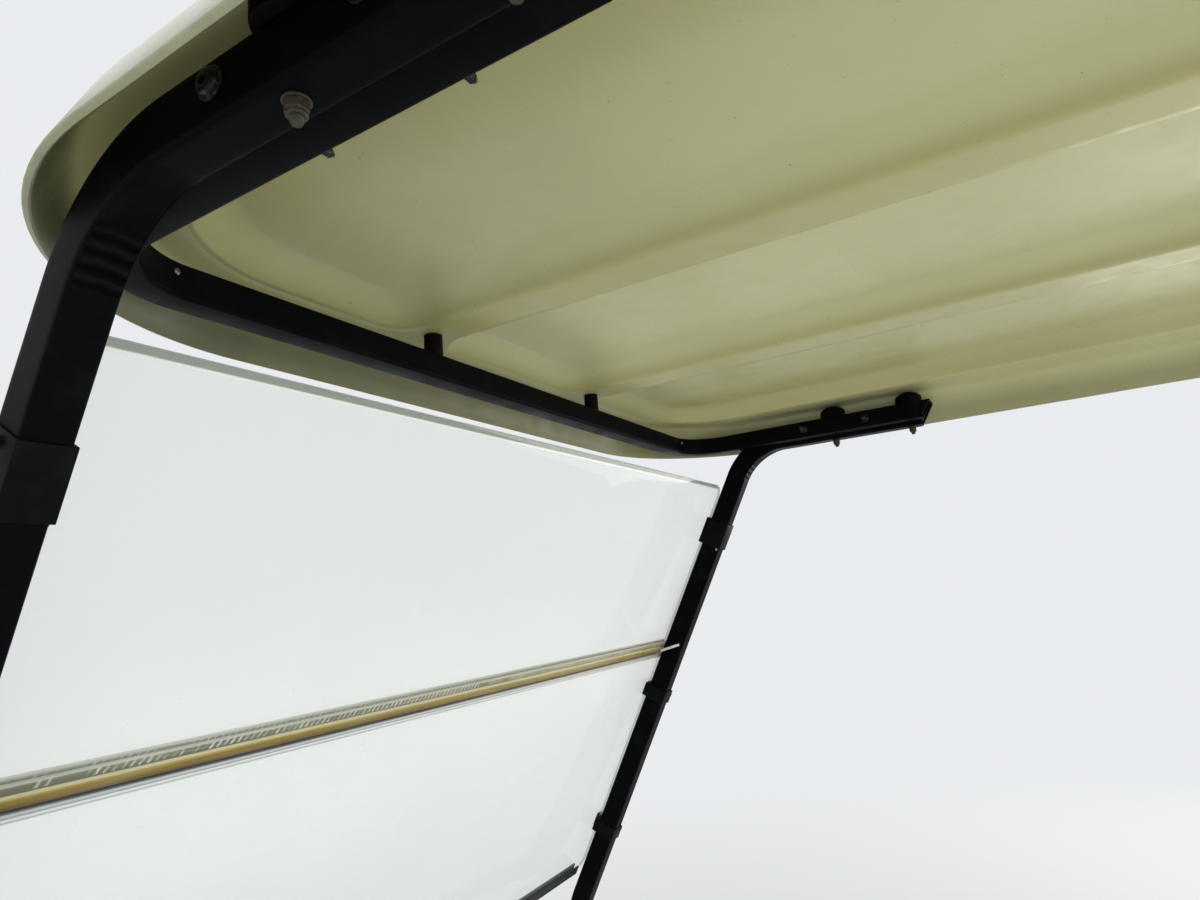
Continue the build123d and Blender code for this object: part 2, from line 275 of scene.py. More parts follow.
# Materials
def roof_plastic(name, ridge, panel, shade):
    """Moulded cream plastic. Shade is how much painted shade darkens its front, its lip and its
    creases.
    """
    plastic = Finish(name, IOR=1.5)
    height = plastic.along((0, 0, 1))
    left = plastic.along((1 / ROOF_HALF_X, 0, 0))
    forward = (plastic.along((0, -1, 0)) + ROOF_MID_Y) / ROOF_HALF_Y

    # The flange, seen as ridges between the panels, and the side panels' outer slopes take the
    # ridge colour, yellower than the panels and, underneath, darker as painted shade; at the
    # flange's right side a painted light keeps the panel colour
    raised = plastic.between(height, FLANGE_TOP - 0.004, FLANGE_TOP + PAD_RISE - 0.010)
    raised *= plastic.between(left.absolute(), 0.60, 0.72, 1, 0.15)
    painted_light_right = plastic.between(left, -0.88, -0.79, 0.75, 0)
    colour = plastic.mix(raised.larger(painted_light_right), ridge, panel)
    mottle = plastic.between(plastic.noise(5.0, 4.0), 0.45, 0.78, 0, 0.35)
    colour = plastic.mix(mottle, colour, [c * 0.86 for c in panel])
    soiled = plastic.between(plastic.noise(1.7, 3.0, 0.5), 0.42, 0.66, 0, 0.30)
    colour = plastic.mix(soiled * shade, colour, [c * 0.72 for c in ridge])

    # Painted shade at the front left, along the flange's edge and inside the lip, broken up by
    # blotches
    blotches = plastic.noise(11.0, 5.0, 0.6) * 0.5 + 0.75
    painted_shade_front_left = plastic.between(forward * 1.25 + left, 0.6, 1.7, 0, 0.42)
    edge = plastic.between(left.larger(forward), 0.80, 0.98)
    painted_shade = painted_shade_front_left.larger(edge * 0.36) * blotches * shade
    colour = plastic.mix(painted_shade, colour, (0.20, 0.21, 0.095))
    # Painted shade inside the lip, stronger towards the left
    lip = plastic.between(height, LIP_Z + 0.012, FLANGE_TOP - 0.010, 1, 0)
    lip *= plastic.between(left, -0.9, 0.8, 0.45, 1.0)
    colour = plastic.mix(lip * blotches * shade * 0.88, colour, (0.085, 0.085, 0.036))

    # The outside has no such painted shade, but its lip gets a band of painted shade
    painted_lip_shade = plastic.between(height, LIP_Z, FLANGE_TOP - 0.012, 1, 0) * blotches
    colour = plastic.mix(painted_lip_shade * (1 - shade) * 0.70, colour, (0.26, 0.29, 0.20))

    # Painted shade in the creases at the panels' feet, near the front left corner, and specks of
    # dirt all over
    crease = plastic.between(height, SEAT_Z + 0.0002, SEAT_Z + 0.0007)
    crease *= plastic.between(height, SEAT_Z + 0.0012, SEAT_Z + 0.0026, 1, 0)
    corner = plastic.between(forward + left * 0.8 + plastic.noise(6.0, 2.0) * 0.4, 1.30, 1.75)
    colour = plastic.mix(crease * corner * shade * 0.60, colour, (0.14, 0.13, 0.05))
    specks = plastic.between(plastic.noise(330.0, 0.0), 0.853, 0.868)
    colour = plastic.mix(specks * 0.5, colour, (0.12, 0.10, 0.06))

    wave = plastic.bump(plastic.noise(9.0, 1.0), 0.0012)
    peel = plastic.bump(plastic.noise(620.0, 2.0), 0.00005, under=wave)
    rough = plastic.between(plastic.noise(38.0, 5.0, 0.65), 0.35, 0.7, 0.32, 0.48)
    return plastic.use(Base_Color=colour, Roughness=rough, Normal=peel)


def lip_rim():
    """The roof's trimmed rim, which faces down, in a darker olive than the cream plastic as painted
    shade.
    """
    rim = Finish("trimmed_plastic_rim", roughness=0.55)
    colour = rim.mix(rim.noise(60.0, 4.0), (0.24, 0.25, 0.14), (0.40, 0.41, 0.27))
    return rim.use(Base_Color=colour, Normal=rim.bump(rim.noise(900.0), 0.0001))


def powder_coat():
    """Dusty black powder coat. Pressed folds get a painted highlight on top and painted shade
    between.
    """
    paint = Finish("black_powder_coat", Specular_IOR_Level=0.016)
    dust = paint.between(paint.noise(26.0, 5.0, 0.6), 0.5, 0.8)
    scuffs = paint.between(paint.noise(150.0, 3.0, 0.7, (1, 0.22, 0.22)), 0.72, 0.78)
    colour = paint.mix(dust, (0.0026, 0.0029, 0.0040), (0.0062, 0.0062, 0.0056))
    colour = paint.mix(scuffs * 0.25, colour, (0.05, 0.05, 0.047))
    folds = paint.node("ShaderNodeAttribute", "Fac", {"attribute_name": "fold"})
    # Painted highlight on the folds' tops and painted shade in the grooves between them
    colour = paint.mix(paint.between(folds, 0.15, 1.0, 0, 0.50), colour, (0.009, 0.0095, 0.009))
    colour = paint.mix(paint.between(folds, -1.0, -0.15, 0.8, 0), colour, (0.0006, 0.0006, 0.0007))
    rough = paint.between(paint.noise(9.0, 4.0, stretch=(3, 1, 1)), 0.3, 0.75, 0.30, 0.46)
    grain = paint.bump(paint.noise(900.0, 2.0), 0.00004)
    return paint.use(Base_Color=colour, Roughness=rough, Normal=grain)


def clear_acrylic():
    """Clear sheet with a dusty haze. A painted highlight line and a painted dark green band follow
    its top edge.
    """
    sheet = Finish("clear_acrylic", IOR=1.49)
    wiped = sheet.noise(3.0, 5.0, 0.6, (1, 0.5, 0.5))
    smears = sheet.noise(7.0, 4.0, 0.6, (0.35, 1, 1))
    up = sheet.along(UP_SLOPE) - KNEE_Z * cos(LEAN)
    near_fold = sheet.between((up - SEAM).absolute(), 0.0, 0.22, 0.5, 0.0)
    haze = sheet.between(wiped + near_fold + sheet.between(smears, 0.5, 0.8, 0, 0.25), 0.40, 0.95)
    dust = sheet.between(sheet.noise(240.0, 3.0, 0.7), 0.64, 0.74, 0.0, 0.07)
    colour = sheet.mix(haze, (0.55, 0.64, 0.58), (0.80, 0.83, 0.78))
    # Painted dark green band where the cut top edge shows through the sheet, and a painted
    # highlight line below it
    edge = sheet.between(up, SHEET_TOP - 0.0062, SHEET_TOP - 0.0054)
    glint = sheet.between(up, SHEET_TOP - 0.0082, SHEET_TOP - 0.0074) - edge
    colour = sheet.mix(edge, colour, (0.16, 0.19, 0.13))
    return sheet.use(
        Base_Color=sheet.mix(glint, colour, (0.90, 0.92, 0.86)),
        Alpha=haze * 0.14 + dust + edge * 0.42 + glint * 0.35 + 0.14,
        Roughness=haze * 0.10 + 0.03,
        Normal=sheet.bump(sheet.noise(4.0, 1.0), 0.0002),
    )


def acrylic_edge():
    """The sheets' narrow edges."""
    cut = Finish("acrylic_edge", roughness=0.3, IOR=1.49)
    grain = cut.noise(500.0, 3.0, stretch=(0.2, 1, 1))
    return cut.use(
        Base_Color=cut.mix(grain, (0.60, 0.68, 0.66), (0.88, 0.92, 0.92)),
        Alpha=cut.between(grain, 0.3, 0.7, 0.6, 0.85),
    )


STROKE_PITCH = 0.0058


def fold_vinyl(name, low, high, stops, alpha):
    """Aged vinyl. Its bands run lengthwise, from low to high up the slope."""
    vinyl = Finish(name, IOR=1.5)
    up = vinyl.along(UP_SLOPE) - KNEE_Z * cos(LEAN)
    bands = vinyl.node(
        "ShaderNodeValToRGB", "Color", {"stops": stops}, {0: (up - low) / (high - low)}
    )
    fade = vinyl.between(vinyl.along((1, 0, 0)), -0.5, 0.4, 0.55, 0.0)
    bands = vinyl.mix(fade * 0.45, bands, (0.60, 0.48, 0.20))

    # Short slanted strokes of uneven strength, in one band above the fold
    leaning = vinyl.along(ACROSS + UP_SLOPE * 0.5) / STROKE_PITCH
    strokes = vinyl.between((leaning.fraction() - 0.5).absolute(), 0.10, 0.28, 1, 0)
    ragged = vinyl.between(vinyl.noise(300.0, 3.0, 0.7, (1, 0.04, 0.04)), 0.46, 0.58)
    worn = vinyl.between(vinyl.noise(60.0, 2.0, stretch=(1, 0.3, 0.3)), 0.36, 0.50)
    band = vinyl.between(up, SEAM + 0.0120, SEAM + 0.0132)
    band *= vinyl.between(up, SEAM + 0.0172, SEAM + 0.0180, 1, 0)
    colour = vinyl.mix(strokes * (ragged * 0.4 + 0.3) * worn * band, bands, (0.74, 0.76, 0.70))

    streak = vinyl.noise(240.0, 3.0, 0.6, (0.04, 1, 1))
    colour = vinyl.mix(vinyl.between(streak, 0.5, 0.75, 0, 0.4), colour, (0.30, 0.28, 0.20))
    return vinyl.use(
        Base_Color=colour,
        Alpha=vinyl.between(streak, 0.3, 0.7, alpha, 0.97),
        Roughness=vinyl.between(streak, 0.35, 0.7, 0.22, 0.42),
        Normal=vinyl.bump(streak, 0.0002),
    )


def galvanised():
    """Dull steel with spots of rust, for the nuts and the bolts on the roof."""
    steel = Finish("dull_galvanised_steel", metallic=0.5, Specular_IOR_Level=0.3)
    spangle = steel.noise(380.0, 4.0, 0.6)
    rust = steel.between(steel.noise(240.0, 4.0, 0.7), 0.50, 0.66)
    colour = steel.mix(spangle, (0.030, 0.028, 0.019), (0.084, 0.078, 0.053))
    return steel.use(
        Base_Color=steel.mix(rust * 0.8, colour, (0.026, 0.019, 0.009)),
        Metallic=rust * -0.4 + 0.5,
        Roughness=steel.between(spangle, 0.3, 0.7, 0.38, 0.60),
        Normal=steel.bump(spangle, 0.0001),
    )


def bright_zinc():
    """Steel of the small screws behind the rails' bends."""
    steel = Finish("bright_zinc_steel", metallic=0.5, Specular_IOR_Level=0.5)
    spangle = steel.noise(700.0, 3.0, 0.6)
    return steel.use(
        Base_Color=steel.mix(spangle, (0.07, 0.07, 0.065), (0.18, 0.18, 0.17)),
        Roughness=steel.between(spangle, 0.3, 0.7, 0.25, 0.45),
    )


def black_oxide():
    """Steel of the side bolts."""
    steel = Finish("black_oxide_steel", metallic=0.3, Specular_IOR_Level=0.2)
    worn = steel.between(steel.noise(420.0, 4.0, 0.65), 0.50, 0.68)
    return steel.use(
        Base_Color=steel.mix(worn, (0.010, 0.010, 0.011), (0.075, 0.072, 0.064)),
        Roughness=steel.between(worn, 0, 1, 0.34, 0.5),
    )


def black_plastic():
    """Posts, spacers, clips and bands."""
    plastic = Finish("moulded_black_plastic", Specular_IOR_Level=0.05)
    wear = plastic.noise(45.0, 4.0)
    rubbed = plastic.between(wear, 0.45, 0.8)
    return plastic.use(
        Base_Color=plastic.mix(rubbed, (0.0026, 0.0026, 0.0030), (0.0070, 0.0070, 0.0062)),
        Roughness=plastic.between(wear, 0.3, 0.8, 0.40, 0.60),
        Normal=plastic.bump(plastic.noise(1600.0), 0.00008),
    )


def white_plastic():
    """Straps beside the fold, and the small hooks."""
    plastic = Finish("moulded_white_plastic", roughness=0.4)
    blotches = plastic.between(plastic.noise(160.0, 4.0), 0.45, 0.8)
    return plastic.use(
        Base_Color=plastic.mix(blotches, (0.84, 0.84, 0.80), (0.52, 0.50, 0.42)),
        Normal=plastic.bump(blotches, 0.0001),
    )


def soft_rubber():
    """The seal under the lower sheet."""
    rubber = Finish("soft_black_rubber", Specular_IOR_Level=0.3)
    bloom = rubber.noise(70.0, 4.0)
    dusty = rubber.between(bloom, 0.4, 0.8)
    return rubber.use(
        Base_Color=rubber.mix(dusty, (0.010, 0.010, 0.010), (0.040, 0.040, 0.038)),
        Roughness=rubber.between(bloom, 0.3, 0.8, 0.60, 0.82),
        Normal=rubber.bump(rubber.noise(1100.0), 0.0001),
    )


ROOF_OUTSIDE = roof_plastic(
    "cream_plastic_outside", ridge=(0.66, 0.64, 0.52), panel=(0.68, 0.66, 0.55), shade=0.0
)
# The underside is a shaded copy of the same plastic: its darker, greener colours are painted shade
ROOF_UNDERSIDE = roof_plastic(
    "cream_plastic_underside", ridge=(0.42, 0.395, 0.165), panel=(0.52, 0.51, 0.27), shade=1.0
)
ROOF_RIM = lip_rim()
PAINT = powder_coat()
ACRYLIC = clear_acrylic()
ACRYLIC_EDGE = acrylic_edge()
# In the amber strip's stops, the pale cream band from 0.46 to 0.56 is a painted highlight line
AMBER = fold_vinyl(
    "aged_amber_vinyl", SEAM, SEAM + 0.020,
    [(0.0, (0.10, 0.095, 0.10)), (0.08, (0.14, 0.11, 0.08)), (0.12, (0.19, 0.125, 0.022)),
     (0.30, (0.24, 0.165, 0.022)), (0.40, (0.36, 0.29, 0.085)), (0.46, (0.58, 0.53, 0.33)),
     (0.56, (0.60, 0.56, 0.37)), (0.61, (0.15, 0.16, 0.115)), (0.84, (0.17, 0.18, 0.135)),
     (0.90, (0.50, 0.51, 0.44)), (1.0, (0.56, 0.57, 0.50))], alpha=0.86,
)
GREY_VINYL = fold_vinyl(
    "greyed_clear_vinyl", SEAM - 0.010, SEAM,
    [(0.0, (0.34, 0.36, 0.35)), (0.10, (0.46, 0.48, 0.46)), (0.22, (0.52, 0.56, 0.57)),
     (0.30, (0.70, 0.74, 0.76)), (0.44, (0.66, 0.70, 0.73)), (0.50, (0.16, 0.17, 0.18)),
     (0.58, (0.50, 0.54, 0.57)), (0.74, (0.46, 0.49, 0.52)), (0.84, (0.15, 0.14, 0.14)),
     (1.0, (0.10, 0.095, 0.09))], alpha=0.93,
)
ZINC = galvanised()
BRIGHT_STEEL = bright_zinc()
BLACK_STEEL = black_oxide()
BLACK_PLASTIC = black_plastic()
WHITE_PLASTIC = white_plastic()
RUBBER = soft_rubber()

# What a slot's CAD nodes and pieces wear, unless a piece is given other materials
BY_SLOT = {
    "roof_plastic": ROOF_UNDERSIDE, "frame_paint": PAINT, "clear_sheet": ACRYLIC,
    "amber_strip": AMBER, "clear_strip": GREY_VINYL, "zinc": ZINC,
    "black_plastic": BLACK_PLASTIC, "white_plastic": WHITE_PLASTIC, "seal_rubber": RUBBER,
}
for row in frame["record"]["subparts"]:
    node = frame["nodes"][row["node"]]
    node.data.materials.clear()
    node.data.materials.append(BY_SLOT[row["material_slot"]])


# Mesh helpers
def finish_piece(name, bm, slot, replaces=(), materials=None, body="canopy", smooth=35):
    """Makes an object of a mesh, smooth up to the given angle, hangs it on its body and hides the
    CAD nodes it replaces.
    """
    mesh = bpy.data.meshes.new(name)
    bm.to_mesh(mesh)
    bm.free()
    for material in materials or [BY_SLOT[slot]]:
        mesh.materials.append(material)
    mesh.shade_smooth()
    mesh.set_sharp_from_angle(angle=radians(smooth))
    piece = bpy.data.objects.new(name, mesh)
    scene.collection.objects.link(piece)
    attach(piece, body)
    if replaces:
        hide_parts(*replaces)
    return piece


def from_node(name):
    """A merged copy of a CAD node's mesh, with its flat faces joined."""
    bm = bmesh.new()
    bm.from_mesh(frame["nodes"][name].data)
    bmesh.ops.remove_doubles(bm, verts=bm.verts, dist=1e-6)
    bmesh.ops.dissolve_limit(
        bm, angle_limit=radians(1), verts=bm.verts, edges=bm.edges, use_dissolve_boundaries=False
    )
    return bm


def edges_of(verts):
    """The edges that touch any of the given points."""
    return list(dict.fromkeys(e for v in verts for e in v.link_edges))


def edges_in(geometry):
    """The edges among an operator's results."""
    return [g for g in geometry if isinstance(g, bmesh.types.BMEdge)]


def verts_in(geometry):
    """The points among an operator's results."""
    return [g for g in geometry if isinstance(g, bmesh.types.BMVert)]


def facing(at, direction):
    """A place whose z looks in the given direction."""
    return Matrix.Translation(at) @ Vector(direction).to_track_quat("Z", "Y").to_matrix().to_4x4()


def sharp_edges(bm, angle=30):
    return [e for e in bm.edges if e.is_manifold and e.calc_face_angle() > radians(angle)]


def round_edges(bm, edges, offset, segments=2):
    bmesh.ops.bevel(
        bm, geom=edges, offset=offset, offset_type="OFFSET", segments=segments,
        profile=0.5, affect="EDGES", material=-1, clamp_overlap=True,
    )


def eased_node(name, offset, angle=30, segments=2):
    """A copy of a CAD node's mesh with its sharp edges rounded."""
    bm = from_node(name)
    round_edges(bm, sharp_edges(bm, angle), offset, segments)
    return bm


def outline(bm, matrix, width, depth, corner, segments=4, cuts=0):
    """A closed loop of edges: a rectangle with rounded corners, seen down the matrix's z."""
    size = Matrix.Diagonal((width, depth, 1, 1))
    made = bmesh.ops.create_grid(bm, x_segments=1, y_segments=1, size=0.5, matrix=matrix @ size)
    if corner:
        made = bmesh.ops.bevel(
            bm, geom=made["verts"], offset=corner, offset_type="OFFSET", segments=segments,
            profile=0.5, affect="VERTICES", material=-1,
        )
    face = next(f for v in made["verts"] for f in v.link_faces)
    edges = face.edges[:]
    bmesh.ops.delete(bm, geom=[face], context="FACES_ONLY")
    if cuts:
        sides = sorted(edges, key=lambda e: e.calc_length())[-4:]
        cut = bmesh.ops.subdivide_edges(bm, edges=sides, cuts=cuts)
        kept = [e for e in edges if e.is_valid]
        edges = list(dict.fromkeys([*kept, *edges_in(cut["geom"])]))
    return edges


def extrude_along(bm, edges, step):
    """Extrudes a loop by one step and returns its new end."""
    made = bmesh.ops.extrude_edge_only(bm, edges=edges)["geom"]
    verts = verts_in(made)
    bmesh.ops.translate(bm, verts=verts, vec=step)
    moved = set(verts)
    return [e for e in edges_in(made) if moved.issuperset(e.verts)]


def tube_skin(path, bend, width, depth, bend_step=radians(3), cuts=0):
    """Skin of a bent tube, open at both ends: straight runs extruded, bends spun."""
    bm = bmesh.new()
    path = [Vector(p) for p in path]
    along = (path[1] - path[0]).normalized()
    turn = Matrix((ACROSS, along.cross(ACROSS), along)).transposed()
    start = Matrix.Translation(path[0]) @ turn.to_4x4()
    edges = outline(bm, start, width, depth, TUBE_CORNER, cuts=cuts)
    at = path[0]
    for here, ahead in zip(path[1:], [*path[2:], None]):
        if ahead is None:
            extrude_along(bm, edges, here - at)
            break
        onward = (ahead - here).normalized()
        angle = along.angle(onward)
        reach = bend * tan(angle / 2)
        edges = extrude_along(bm, edges, here - along * reach - at)
        axis = along.cross(onward).normalized()
        centre = here - along * reach + axis.cross(along) * bend
        spun = bmesh.ops.spin(
            bm, geom=edges, cent=centre, axis=axis, angle=angle,
            steps=round(angle / bend_step), use_merge=False,
        )
        edges = edges_in(spun["geom_last"])
        at = here + onward * reach
        along = onward
    return bm


SPARE_TIP = 0.010           # how far an arm runs past its tip until slant_tip cuts it


def slant_tip(bm, tip, run, depth):
    """Cuts an arm's tip so that it slants back underneath."""
    outward = Vector((0, run * sin(TIP_SLANT), -cos(TIP_SLANT)))
    reach = 0.05
    faces = [f for v in bm.verts if (v.co - tip).length < reach for f in v.link_faces]
    nearby = list(dict.fromkeys(g for f in faces for g in (f, *f.edges, *f.verts)))
    bmesh.ops.bisect_plane(
        bm, geom=nearby, dist=1e-6, plane_co=tip + Vector((0, 0, depth / 2)),
        plane_no=outward, clear_outer=True,
    )


def give_wall(bm, wall):
    """Turns an open skin into a wall that grows inwards."""
    bmesh.ops.recalc_face_normals(bm, faces=bm.faces)
    bmesh.ops.solidify(bm, geom=bm.faces[:], thickness=wall)


def turned(bm, place, profile, steps=32):
    """Spins a profile of (radius, height) points full round the place's z."""
    verts = [bm.verts.new(place @ Vector((radius, 0, height))) for radius, height in profile]
    edges = [bm.edges.new(pair) for pair in zip(verts, verts[1:])]
    bmesh.ops.spin(
        bm, geom=verts + edges, cent=place.translation, axis=place.col[2].xyz,
        angle=2 * pi, steps=steps, use_merge=True,
    )


def seal_turned(bm):
    """Closes the poles and seams of turned shapes and points their faces outwards."""
    bmesh.ops.remove_doubles(bm, verts=bm.verts, dist=2e-6)
    bmesh.ops.recalc_face_normals(bm, faces=bm.faces)
    return bm


def add_washer(bm, place, bore, outside, thick):
    ease = 0.0003
    turned(bm, place, [
        (bore, 0), (outside - ease, 0), (outside, ease), (outside, thick - ease),
        (outside - ease, thick), (bore, thick), (bore, 0),
    ])


def add_socket_screw(bm, place, scale=1.0):
    """A washer and a rounded head with a hexagon socket, looking along the place's z."""
    head_top = 0.0058
    socket_r = 0.0030
    socket_depth = 0.0032
    place = place @ Matrix.Scale(scale, 4)
    add_washer(bm, place, 0.0040, 0.0082, 0.0014)
    turned(bm, place, [
        (socket_r, 0.0014), (0.0066, 0.0014), (0.0066, 0.0034), (0.0061, 0.0046),
        (0.0050, 0.0055), (0.0036, head_top),
    ], steps=24)
    to_head = place.inverted()

    def on_rim(v):
        local = to_head @ v.co
        return abs(local.z - head_top) < 1e-5 and local.xy.length < 0.01

    rim = [e for e in bm.edges if e.is_boundary and all(on_rim(v) for v in e.verts)]
    top = place @ Matrix.Translation((0, 0, head_top))
    hexagon = bmesh.ops.create_circle(bm, segments=6, radius=socket_r, matrix=top)["verts"]
    socket = edges_of(hexagon)
    bmesh.ops.bridge_loops(bm, edges=rim + socket)
    floor = extrude_along(bm, socket, place.to_3x3() @ Vector((0, 0, -socket_depth)))
    bmesh.ops.edgeloop_fill(bm, edges=floor)


def thread(radius, depth, foot, pitch, points):
    """The zigzag outline of a screw's thread."""
    return [(radius - depth * (point % 2), foot + pitch * point) for point in range(points)]


def add_screw_end(bm, place):
    """A screw's threaded end, which comes out of a flush nut insert."""
    turned(bm, place, [
        (0, -0.001), (0.0056, -0.001), (0.0056, 0.0008), (0.0050, 0.0014),
        *thread(0.0026, 0.0003, 0.0014, 0.0008, 15), (0.0012, 0.0150), (0, 0.0154),
    ], steps=24)


NUT_SCALE = 0.74            # the profiles are those of an 8 mm bolt, and this one is 6 mm


def add_nut(bm, place):
    """A washer, a lock nut with its collar, and the threaded end of the bolt."""
    place = place @ Matrix.Scale(NUT_SCALE, 4)
    add_washer(bm, place, 0.0042, 0.0085, 0.0016)
    turned(bm, place, [
        (0.0042, 0.0016), (0.0070, 0.0016), (0.0075, 0.0021), (0.0075, 0.0070),
        (0.0066, 0.0080), (0.0042, 0.0080),
    ], steps=6)
    turned(bm, place, [
        (0.0040, 0.0076), (0.0064, 0.0076), (0.0064, 0.0098), (0.0057, 0.0106), (0.0040, 0.0106),
    ], steps=24)
    turned(bm, place, [
        (0, 0.0080), *thread(0.0040, 0.0005, 0.0088, 0.0006, 10), (0.0034, 0.0150), (0, 0.0150),
    ], steps=20)


def add_cap(bm, place):
    """A dome bolt head on a wide washer, on top of the roof."""
    turned(bm, place, [
        (0, 0), (0.0120, 0), (0.0125, 0.0004), (0.0125, 0.0014), (0.0120, 0.0018),
        (0.0086, 0.0018), (0.0086, 0.0028), (0.0080, 0.0042), (0.0064, 0.0056),
        (0.0040, 0.0065), (0, 0.0068),
    ])


def add_knob(bm, place):
    """A small round knob with grip flutes."""
    steps = 36
    before = set(bm.verts)
    turned(bm, place, [
        (0, 0), (0.0040, 0), (0.0040, 0.0020), (0.0068, 0.0024), (0.0072, 0.0032),
        (0.0072, 0.0072), (0.0066, 0.0082), (0.0040, 0.0088), (0, 0.0090),
    ], steps=steps)
    bmesh.ops.remove_doubles(bm, verts=[v for v in bm.verts if v not in before], dist=2e-6)
    for v in bm.verts:
        local = place.inverted() @ v.co
        if v not in before and local.xy.length > 0.006:
            step = round(Vector((1, 0)).angle_signed(local.xy) / (2 * pi) * steps)
            if step % 3 == 0:
                local.xy *= 0.93
                v.co = place @ local


def foot(x, y, z):
    """A foot plate with two bolt holes, and the weld bead round the tube on it."""
    bm = bmesh.new()
    for end in (-1, 1):
        middle = Matrix.Translation((x, y + end * FOOT_LENGTH / 4, z))
        half = outline(bm, middle, FOOT_WIDTH, FOOT_LENGTH / 2, corner=0)
        hole = bmesh.ops.create_circle(
            bm, segments=32, radius=FOOT_HOLE_R,
            matrix=Matrix.Translation((x, y + end * FOOT_HOLE_OUT, z)),
        )["verts"]
        bmesh.ops.bridge_loops(bm, edges=half + edges_of(hole))
    bmesh.ops.remove_doubles(bm, verts=bm.verts, dist=1e-6)
    corners = [
        v for v in bm.verts
        if abs(abs(v.co.x - x) - FOOT_WIDTH / 2) < 1e-6
        and abs(abs(v.co.y - y) - FOOT_LENGTH / 2) < 1e-6
    ]
    plate = bmesh.ops.extrude_face_region(bm, geom=bm.faces[:])["geom"]
    bmesh.ops.translate(bm, verts=verts_in(plate), vec=(0, 0, FOOT_PLATE))
    upright = [
        e for e in edges_of(corners)
        if abs(e.verts[0].co.z - e.verts[1].co.z) > FOOT_PLATE / 2
    ]
    round_edges(bm, upright, FOOT_CORNER, segments=5)
    bmesh.ops.recalc_face_normals(bm, faces=bm.faces)
    round_edges(bm, sharp_edges(bm, angle=50), offset=0.0005)

    foot_width = 0.0070         # how much wider than the tube the bead is
    top_width = 0.0010
    rise = 0.0042
    bead = outline(
        bm, Matrix.Translation((x, y, z + FOOT_PLATE)), STRUT_WIDTH + foot_width,
        STRUT_DEPTH + foot_width, TUBE_CORNER + 0.003, segments=5, cuts=9,
    )
    for v in verts_in(bmesh.ops.extrude_edge_only(bm, edges=bead)["geom"]):
        v.co.x = x + (v.co.x - x) * (STRUT_WIDTH + top_width) / (STRUT_WIDTH + foot_width)
        v.co.y = y + (v.co.y - y) * (STRUT_DEPTH + top_width) / (STRUT_DEPTH + foot_width)
        v.co.z += rise
    bmesh.ops.recalc_face_normals(bm, faces=bm.faces)
    return bm


# Roof
TOP_INSET = (FLANGE_TOP - LIP_Z) * tan(LIP_DRAFT)
ROUND_REACH = ROOF_EDGE_R * tan((pi / 2 - LIP_DRAFT) / 2)
FLAT_HALF_X = ROOF_HALF_X - TOP_INSET - ROUND_REACH
FLAT_HALF_Y = ROOF_HALF_Y - TOP_INSET - ROUND_REACH
FLAT_CORNER = ROOF_CORNER - TOP_INSET - ROUND_REACH
FLANGE_RIM = 0.005          # level band of the flange along each contour
PANEL_FOOT = 0.0020         # how far a panel's rounded foot reaches out into the flange
ROUND_STEPS = 8
LIP_STEPS = 4
PANEL_HALF_Y = FRAME_LENGTH / 2 + 0.022
# Raised panels: middle, half width at the foot, inner and outer corner radius
PANELS = ((0.0, 0.130, 0.036, 0.036), (0.312, 0.136, 0.036, 0.130), (-0.312, 0.136, 0.036, 0.130))
# How a panel rises: distance in from its foot, height above the flange
PANEL_PROFILE = (
    (-PANEL_FOOT, 0), (0, 0.0008), (0.0016, 0.0026), (0.0044, 0.0058), (0.0086, 0.0100),
    (0.0136, 0.0141), (0.0190, 0.0176), (0.0240, 0.0201), (0.0285, 0.0215), (0.0318, 0.0220),
    (0.0345, 0.0220),
)


def spread(edges, centre):
    """Which way each point of a level contour goes, for one step outwards."""
    normals = {}
    for edge in edges:
        a, b = (v.co.xy for v in edge.verts)
        normal = (b - a).orthogonal().normalized()
        if normal.dot((a + b) / 2 - centre) < 0:
            normal.negate()
        for v in edge.verts:
            normals.setdefault(v, []).append(normal)
    return {v: (one + two) / (1 + one.dot(two)) for v, (one, two) in normals.items()}


def move_contour(edges, centre, out):
    for v, way in spread(edges, centre).items():
        v.co.xy += way * out
    return edges


def grow(bm, edges, centre, moves):
    """Extrudes a contour along moves of (outwards, up)."""
    for out, up in moves:
        edges = move_contour(extrude_along(bm, edges, (0, 0, up)), centre, out)
    return edges


def panel_contour(bm, mid_x, half_x, inner_r, outer_r):
    """The rounded rectangle in the flange from which a panel starts."""
    size = Matrix.Diagonal((half_x, PANEL_HALF_Y, 1, 1))
    place = Matrix.Translation((mid_x, ROOF_MID_Y, FLANGE_TOP)) @ size
    corners = bmesh.ops.create_grid(bm, x_segments=1, y_segments=1, size=1, matrix=place)["verts"]
    face = corners[0].link_faces[0]
    outer = [v for v in corners if abs(v.co.x) > abs(mid_x)]
    inner = [v for v in corners if v not in outer]
    for points, radius, segments in ((outer, outer_r, 20), (inner, inner_r, 10)):
        if points:
            made = bmesh.ops.bevel(
                bm, geom=points, offset=radius, offset_type="OFFSET", segments=segments,
                profile=0.5, affect="VERTICES", material=-1,
            )
            face = next(f for v in made["verts"] for f in v.link_faces)
    edges = face.edges[:]
    bmesh.ops.delete(bm, geom=[face], context="FACES_ONLY")
    centre = Vector((mid_x, ROOF_MID_Y))
    return move_contour(edges, centre, FLANGE_RIM + PANEL_FOOT), centre


